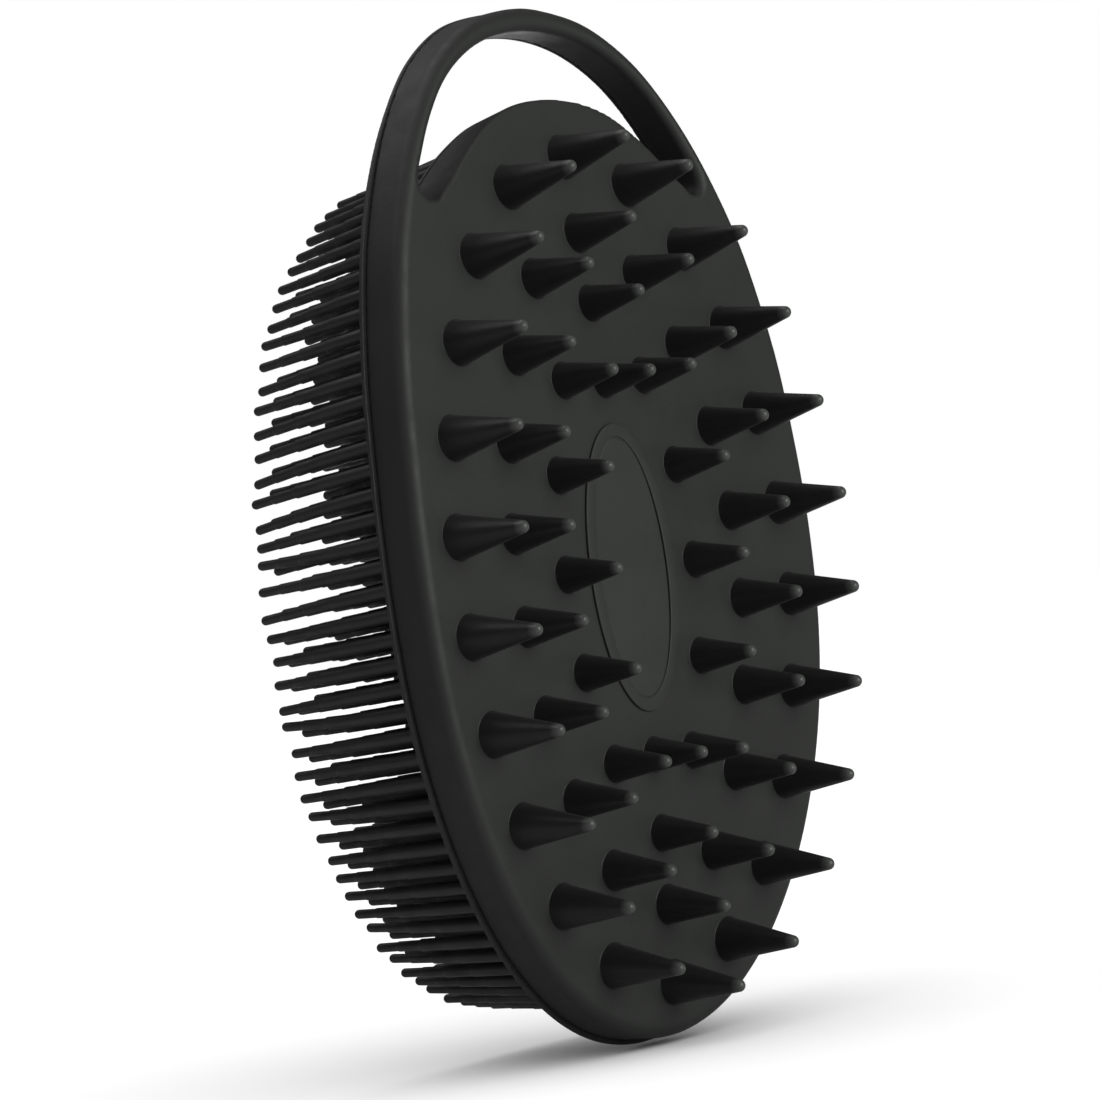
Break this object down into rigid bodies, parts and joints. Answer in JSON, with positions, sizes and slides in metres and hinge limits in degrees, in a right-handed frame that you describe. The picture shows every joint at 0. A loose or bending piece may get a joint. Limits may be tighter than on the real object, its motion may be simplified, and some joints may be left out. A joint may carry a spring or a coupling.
{
  "type": "rubber curry brush",
  "caption": "Oval two-sided silicone curry brush with tapered cones on its arched face, long stepped bristles behind and a flexible hanging loop over the top.",
  "frame": {"origin": "centre of the flat oval panel on the cone side", "axes": "+Z along the brush towards the hanging loop, +X across the width, -Y out of the cone side, +Y out of the bristle side"},
  "size_m": [0.0768, 0.0412, 0.1289],
  "materials": {
    "front_silicone": "matte, very fine grain",
    "panel_silicone": "matte, very fine grain",
    "cone_silicone": "matte with slightly smoother tips",
    "rear_silicone": "matte",
    "bristle_silicone": "matte"
  },
  "bodies": {
    "brush_body": {"front_shell": "front_silicone", "oval_ring": "front_silicone", "label_panel": "panel_silicone", "outer_cones": "cone_silicone", "middle_cones": "cone_silicone", "inner_cones": "cone_silicone", "end_cones": "cone_silicone", "bristle_pad": "rear_silicone", "bristle_ring_01": "bristle_silicone", "bristle_ring_02": "bristle_silicone", "bristle_ring_03": "bristle_silicone", "bristle_ring_04": "bristle_silicone", "bristle_ring_05": "bristle_silicone", "bristle_ring_06": "bristle_silicone", "bristle_ring_07": "bristle_silicone", "bristle_ring_08": "bristle_silicone", "bristle_ring_09": "bristle_silicone", "bristle_ring_10": "bristle_silicone", "bristle_ring_11": "bristle_silicone", "bristle_ring_12": "bristle_silicone", "bristle_row_centre": "bristle_silicone"},
    "loop": {"loop_handle": "front_silicone", "loop_lip": "rear_silicone"}
  },
  "joints": [
    {"name": "loop_flex", "type": "hinge", "parent": "brush_body", "child": "loop", "pos_m": [0, 0.00471, 0.0476], "axis": [1, 0, 0], "range_deg": [-25, 25], "stiffness_Nm_per_rad": 0.02}
  ]
}
